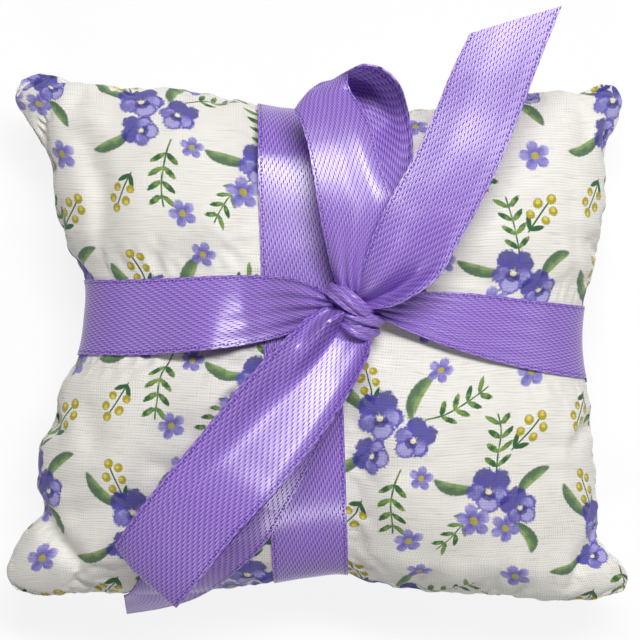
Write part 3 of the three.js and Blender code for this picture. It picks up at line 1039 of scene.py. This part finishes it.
sprigPrint = {
    "tile": (38.0, 34.0),
    "violetDeep": paint(46, 44, 132),
    "violet": paint(92, 84, 178),
    "lilac": paint(166, 160, 220),
    "green": paint(52, 98, 58),
    "greenPale": paint(128, 160, 84),
    "olive": paint(176, 164, 44),
    "gold": paint(226, 206, 96),
    # place in the tile, turn, size
    "leaves": [(-15.0, 9.2, 48, 0.9), (-15.0, -2.0, 115, 0.85), (-4.6, 9.8, -20, 0.95),
               (3.0, -4.6, 75, 0.85), (15.0, -3.6, -50, 0.8), (13.8, -12.6, -140, 0.8)],
    "twigs": [(-7.2, -7.4, 172, 0.85), (2.4, 8.2, -62, 0.8), (9.4, 1.8, 5, 0.8), (2.8, -11.2, 140, 0.7)],
    "berries": [(-12.6, 12.0, 24, 0.75), (14.4, 4.4, -40, 0.8), (-14.2, -10.6, 150, 0.75)],
    "blossoms": [(5.4, -10.0, 20, 0.85), (10.2, -11.4, 60, 0.75), (-1.6, 14.0, 0, 0.65),
                 (13.6, 13.2, 30, 0.8), (-2.4, -2.8, 10, 0.6), (-4.4, -13.6, 40, 0.7)],
    "pansies": [(-10.0, 6.4, 15, 1.0), (-4.2, 3.2, -35, 0.85), (-10.4, 0.2, 80, 0.8),
                (8.4, -5.2, -10, 0.95), (13.0, -8.0, 40, 0.8)],
    # x, y and radius of the berries on one spray
    "berrySpots": [(0.0, 2.9, 0.95), (1.7, 1.3, 0.9), (-1.6, 0.5, 0.95), (1.5, -1.3, 0.85),
                   (-1.5, -2.2, 0.85)],
    "twigPitch": 2.7,
}


def motifGroup(name):
    group = bpy.data.node_groups.new(name, "ShaderNodeTree")
    group.interface.new_socket("Place", in_out="INPUT", socket_type="NodeSocketVector")
    group.interface.new_socket("Mask", in_out="OUTPUT", socket_type="NodeSocketFloat")
    group.interface.new_socket("Color", in_out="OUTPUT", socket_type="NodeSocketColor")
    place = group.nodes.new("NodeGroupInput").outputs["Place"]
    x, y, _ = split(group, place)
    wash = noise(group, place, 0.55, 3)      # the paint's uneven strength
    edge = times(group, minus(group, noise(group, place, 1.9, 2), 0.5), 1.5)     # and its rough rim
    return group, x, y, wash, edge


def endMotif(group, color, mask):
    end = group.nodes.new("NodeGroupOutput")
    group.links.new(color, end.inputs["Color"])
    group.links.new(mask, end.inputs["Mask"])
    return group


def within(tree, value, low, high, soft):
    rise = between(tree, value, low - soft, low + soft)
    fall = between(tree, value, high + soft, high - soft)
    return times(tree, rise, fall)


def squares(tree, x, y):
    return plus(tree, times(tree, x, x), times(tree, y, y))


def ellipse(tree, x, y, shape, edge=0.0):
    # 1 inside, 0 outside; shape is the middle and half the sizes, edge roughens the rim
    midX, midY, halfX, halfY = shape
    dx = calc(tree, "DIVIDE", minus(tree, x, midX), halfX)
    dy = calc(tree, "DIVIDE", minus(tree, y, midY), halfY)
    return between(tree, plus(tree, squares(tree, dx, dy), edge), 1.35, 0.8)


def stalk(tree, aside, y, low, high):
    return times(tree, between(tree, aside, 0.24, 0.1), within(tree, y, low, high, 0.3))


def turned(tree, x, y, degrees):
    c, s = math.cos(math.radians(degrees)), math.sin(math.radians(degrees))
    u = minus(tree, times(tree, x, c), times(tree, y, s))
    v = plus(tree, times(tree, x, s), times(tree, y, c))
    return u, v


def greens(tree, share):
    return mixColor(tree, share, sprigPrint["green"], sprigPrint["greenPale"])


def pansyMotif():
    # two deep petals above, two paler ones at the sides and one below, about a yellow eye
    tree, x, y, wash, edge = motifGroup("pansy")
    aside = absolute(tree, x)
    upper = ellipse(tree, aside, y, (1.35, 1.7, 1.75, 1.9), edge)
    sides = ellipse(tree, aside, y, (2.0, -0.6, 1.6, 1.5), edge)
    lower = ellipse(tree, x, y, (0.0, -2.1, 1.9, 1.6), edge)
    strength = between(tree, wash, 0.34, 0.66)
    sideHearts = times(tree, ellipse(tree, aside, y, (1.8, -0.6, 1.2, 1.1), edge), strength)
    lowerHeart = ellipse(tree, x, y, (0.0, -2.2, 1.4, 1.1), edge)
    blotch = times(tree, ellipse(tree, x, y, (0.0, -0.8, 1.2, 0.9), edge), 0.85)
    eye = ellipse(tree, x, y, (0.0, -0.3, 0.5, 0.45))
    color = mixColor(tree, strength, sprigPrint["violetDeep"], sprigPrint["violet"])
    for share, tone in ((sides, "violet"), (sideHearts, "lilac"), (lower, "violet"), (lowerHeart, "lilac"),
                        (blotch, "violetDeep"), (eye, "gold")):
        color = mixColor(tree, share, color, sprigPrint[tone])
    petals = largest(tree, sides, lower, upper)
    cover = plus(tree, 0.74, times(tree, wash, 0.4))
    return endMotif(tree, color, calc(tree, "MULTIPLY", petals, cover, clamp=True))


def leafMotif():
    # one long leaf, darker on one side of its rib
    tree, x, y, wash, edge = motifGroup("long_leaf")
    bent = minus(tree, x, times(tree, times(tree, y, y), 0.045))
    aside = absolute(tree, bent)
    blade = ellipse(tree, bent, y, (-0.2, 0.3, 1.1, 3.9), times(tree, edge, 0.6))
    rib = between(tree, aside, 0.22, 0.06)
    tone = plus(tree, times(tree, bent, 0.3), wash)
    color = greens(tree, between(tree, tone, 0.3, 0.75))
    color = mixColor(tree, times(tree, rib, 0.5), color, sprigPrint["green"])
    return endMotif(tree, color, times(tree, largest(tree, blade, stalk(tree, aside, y, -5.4, -2)), 0.92))


def twigMotif():
    # a stem with pairs of slanted leaves
    tree, x, y, wash, edge = motifGroup("leaf_twig")
    aside = absolute(tree, plus(tree, x, times(tree, times(tree, y, y), 0.02)))
    pitch = sprigPrint["twigPitch"]
    cell = times(tree, calc(tree, "FRACT", calc(tree, "DIVIDE", plus(tree, y, 7), pitch)), pitch)
    u, v = turned(tree, aside, minus(tree, cell, 0.2), 52)
    leaves = ellipse(tree, u, v, (0.0, 1.7, 0.52, 1.5), edge)
    leaves = times(tree, leaves, within(tree, y, -4.2, 6.6, 0.2))
    color = greens(tree, between(tree, wash, 0.38, 0.62))
    return endMotif(tree, color, largest(tree, leaves, stalk(tree, aside, y, -7, 6.2)))


def blossomMotif():
    # five round petals about a yellow eye
    tree, x, y, wash, edge = motifGroup("blossom")
    angle = calc(tree, "ARCTAN2", y, x)
    away = calc(tree, "SQRT", squares(tree, x, y))
    lobes = calc(tree, "SQRT", absolute(tree, calc(tree, "COSINE", times(tree, angle, 2.5))))
    reach = calc(tree, "DIVIDE", away, plus(tree, 1.5, times(tree, lobes, 1.7)))
    petals = between(tree, plus(tree, reach, times(tree, edge, 0.2)), 1.08, 0.9)
    eye = between(tree, plus(tree, away, times(tree, edge, 0.3)), 0.95, 0.6)
    tone = plus(tree, times(tree, reach, 0.55), times(tree, minus(tree, wash, 0.5), 1.6))
    color = mixColor(tree, between(tree, tone, 0.05, 0.75), sprigPrint["violet"], sprigPrint["lilac"])
    return endMotif(tree, mixColor(tree, eye, color, sprigPrint["olive"]), times(tree, petals, 0.94))


def berryMotif():
    # round berries to either side of a stalk
    tree, x, y, wash, edge = motifGroup("berry_spray")
    edge = times(tree, edge, 0.5)
    aside = absolute(tree, x)
    berries, lit = 0.0, 0.0
    for midX, midY, radius in sprigPrint["berrySpots"]:
        shine = (midX - 0.2, midY + 0.25, radius * 0.5, radius * 0.5)
        berries = largest(tree, berries, ellipse(tree, x, y, (midX, midY, radius, radius), edge))
        lit = largest(tree, lit, ellipse(tree, x, y, shine, edge))
    u, v = turned(tree, aside, plus(tree, y, 5.0), 38)
    leaf = ellipse(tree, u, v, (0.0, 1.5, 0.5, 1.5), edge)
    color = mixColor(tree, berries, sprigPrint["green"], sprigPrint["olive"])
    color = mixColor(tree, times(tree, lit, between(tree, wash, 0.3, 0.6)), color, sprigPrint["gold"])
    return endMotif(tree, color, largest(tree, berries, stalk(tree, aside, y, -5.6, 2.4), leaf))


def repeatPlace(tree, place):
    # every second column of the repeat drops by half
    width, height = sprigPrint["tile"]
    x, y, face = split(tree, place)
    column = calc(tree, "FLOOR", calc(tree, "DIVIDE", x, width))
    drop = times(tree, calc(tree, "PINGPONG", column, 1.0), height / 2)
    inX = minus(tree, minus(tree, x, times(tree, column, width)), width / 2)
    inY = minus(tree, calc(tree, "FLOORED_MODULO", plus(tree, y, drop), height), height / 2)
    return join(tree, inX, inY, face)


def printOn(tree, place, ground):
    # lays each sprig over the ground colour
    local = repeatPlace(tree, place)
    motifs = {"leaves": leafMotif(), "twigs": twigMotif(), "berries": berryMotif(),
              "blossoms": blossomMotif(), "pansies": pansyMotif()}
    color = ground
    for kind, group in motifs.items():
        for x, y, turn, scale in sprigPrint[kind]:
            mapping = tree.nodes.new("ShaderNodeMapping")
            mapping.vector_type = "TEXTURE"
            setInputs(mapping, {"Location": (x, y, 0), "Rotation": (0, 0, math.radians(turn)),
                                "Scale": (scale, scale, 1)})
            tree.links.new(local, mapping.inputs["Vector"])
            sprig = tree.nodes.new("ShaderNodeGroup")
            sprig.node_tree = group
            tree.links.new(mapping.outputs[0], sprig.inputs["Place"])
            color = mixColor(tree, sprig.outputs["Mask"], color, sprig.outputs["Color"])
    return color


# finishes

cottonLook = {
    "ground": paint(237, 234, 228),
    # painted shade: the darker tone multiplied in between the threads
    "gapShadeTone": paint(204, 199, 190),
    "slubTone": paint(232, 230, 224),
    "weftPitch": 0.44,
    "warpPitch": 0.4,
    "weaveDepth": 0.035,
    "weftShare": 0.52,
    "gapShadeAt": (0.55, 0.12),   # thread height where the painted shade in the gaps starts, and where it is full
    "slubStretch": (0.3, 3.0, 1),
    "slubAt": (0.5, 0.8),
    "wander": 0.5,           # how far a thread strays from its course
    "wanderStretch": (1.1, 0.14, 1),
    "surface": {"Roughness": 0.85, "Specular IOR Level": 0.25, "Sheen Weight": 0.15},
}


def threads(tree, across, along, pitch):
    # one set of threads, each a little uneven in its course
    place = stretched(tree, join(tree, across, along), cottonLook["wanderStretch"])
    stray = minus(tree, noise(tree, place, 1.0, 2), 0.5)
    course = plus(tree, across, times(tree, stray, cottonLook["wander"]))
    return absolute(tree, calc(tree, "SINE", times(tree, course, math.pi / pitch)))


def makeCotton():
    material, tree, shader = newFinish("printed_cotton")
    place = clothPlace(tree)
    x, y, _ = split(tree, place)
    weft = threads(tree, y, x, cottonLook["weftPitch"])
    warp = threads(tree, x, y, cottonLook["warpPitch"])
    weftShare = cottonLook["weftShare"]
    thread = plus(tree, times(tree, weft, weftShare), times(tree, warp, 1 - weftShare))
    slub = noise(tree, stretched(tree, place, cottonLook["slubStretch"]), 1.0, 3)
    color = printOn(tree, place, cottonLook["ground"])
    # the gaps between the threads are painted darker, as shade
    gapShade = between(tree, thread, *cottonLook["gapShadeAt"])
    slubs = between(tree, slub, *cottonLook["slubAt"])
    color = mixColor(tree, gapShade, color, cottonLook["gapShadeTone"], "MULTIPLY")
    color = mixColor(tree, slubs, color, cottonLook["slubTone"], "MULTIPLY")
    tree.links.new(color, shader.inputs["Base Color"])
    setInputs(shader, cottonLook["surface"])
    addBump(tree, shader, thread, cottonLook["weaveDepth"])
    return material


satinLook = {
    "ground": paint(132, 96, 188),
    # painted highlight: the lighter colour laid on the floats stands for the glint on their crests
    "float": paint(168, 136, 214),
    # painted shade: the dark colour in the slits between the floats
    "slitShade": paint(70, 40, 140),
    "edgeLine": paint(64, 34, 128),
    "pitch": 1.05,           # from one float to the next along a lane
    "lane": 0.469,
    "step": 0.53,            # share of the pitch by which each lane is set on from the last
    "slant": 0.2286,         # how much the lanes wander across the ribbon
    "floatShape": (0.0, 0.04, 0.42, 0.1),        # middle and half the sizes
    "slitShape": (0.05, -0.13, 0.32, 0.065),
    "floatDepth": 0.01,
    "selvage": (5.4, 5.62),  # the stitched line, from the ribbon's middle
    "stitch": 0.62,
    "stitchOn": (0.2, 0.75),
    "roughness": 0.28,
    "slitDull": 0.5,
    "lineDull": 0.7,
    "reverseDull": 0.3,
    "surface": {"Specular IOR Level": 0.65, "Anisotropic": 0.6},
}


def satinPlaces(tree, along, across):
    # where a point lies in its float's cell, along and across
    pitch, laneWidth, slant = satinLook["pitch"], satinLook["lane"], satinLook["slant"]
    lane = calc(tree, "DIVIDE", plus(tree, across, times(tree, along, slant)), laneWidth)
    shift = times(tree, calc(tree, "FLOOR", lane), satinLook["step"])
    run = minus(tree, calc(tree, "DIVIDE", along, pitch), shift)
    inRun = times(tree, minus(tree, calc(tree, "FRACT", run), 0.5), pitch)
    inLane = times(tree, minus(tree, calc(tree, "FRACT", lane), 0.5), laneWidth)
    return inRun, minus(tree, inLane, times(tree, inRun, slant))


def makeSatin():
    # short floats along the ribbon in slanting lanes, with a slit beside each; the floats are painted
    # lighter as a highlight and the slits darker as shade
    material, tree, shader = newFinish("satin_ribbon")
    along, across, reverse = split(tree, clothPlace(tree))
    inRun, aside = satinPlaces(tree, along, across)
    floatsAndGlints = ellipse(tree, inRun, aside, satinLook["floatShape"])
    # the slits, painted dark as shade and made rougher
    slitsAndShade = ellipse(tree, inRun, aside, satinLook["slitShape"])
    stitch = calc(tree, "FRACT", calc(tree, "DIVIDE", along, satinLook["stitch"]))
    line = times(tree, within(tree, stitch, *satinLook["stitchOn"], 0.1),
                 within(tree, absolute(tree, across), *satinLook["selvage"], 0.06))
    # painted highlight on the floats, then painted shade in the slits
    color = mixColor(tree, floatsAndGlints, satinLook["ground"], satinLook["float"])
    color = mixColor(tree, slitsAndShade, color, satinLook["slitShade"])
    color = mixColor(tree, line, color, satinLook["edgeLine"])
    tree.links.new(color, shader.inputs["Base Color"])
    dull = largest(tree, slitsAndShade, times(tree, line, satinLook["lineDull"]))
    gloss = plus(tree, times(tree, reverse, satinLook["reverseDull"]), satinLook["roughness"])
    gloss = plus(tree, times(tree, dull, satinLook["slitDull"]), gloss)
    tree.links.new(gloss, shader.inputs["Roughness"])
    setInputs(shader, satinLook["surface"])
    tangent = tree.nodes.new("ShaderNodeTangent")
    tangent.direction_type = "UV_MAP"
    tangent.uv_map = "ribbonMap"
    tree.links.new(tangent.outputs[0], shader.inputs["Tangent"])
    addBump(tree, shader, minus(tree, floatsAndGlints, dull), satinLook["floatDepth"])
    return material


budLook = {
    "dark": paint(74, 66, 104),
    "pale": paint(150, 142, 158),
    "grain": 500,
    "depth": 0.6,
    "roughness": 0.95,
}


def makeBudFinish():
    material, tree, shader = newFinish("dried_lavender")
    place = tree.nodes.new("ShaderNodeTexCoord").outputs["Object"]
    grain = noise(tree, place, budLook["grain"], 3)
    color = mixColor(tree, between(tree, grain, 0.35, 0.65), budLook["dark"], budLook["pale"])
    tree.links.new(color, shader.inputs["Base Color"])
    shader.inputs["Roughness"].default_value = budLook["roughness"]
    addBump(tree, shader, grain, budLook["depth"])
    return material


makeCamera()
makeLamps()
makeRoom()
makeFloor()
print("studio made")
cottonPillow = makePillow()
print("pillow made:", len(cottonPillow.data.vertices), "points")
satinPieces = makeRibbons()
print("ribbon made:", len(satinPieces), "stretches")
satinPieces.append(makeKnot())
print("knot made")
buds = makeBuds()
print("filling made")

cottonPillow.data.materials.append(makeCotton())
satinFinish = makeSatin()
for piece in satinPieces:
    piece.data.materials.append(satinFinish)
buds.data.materials.append(makeBudFinish())
print("finishes made")
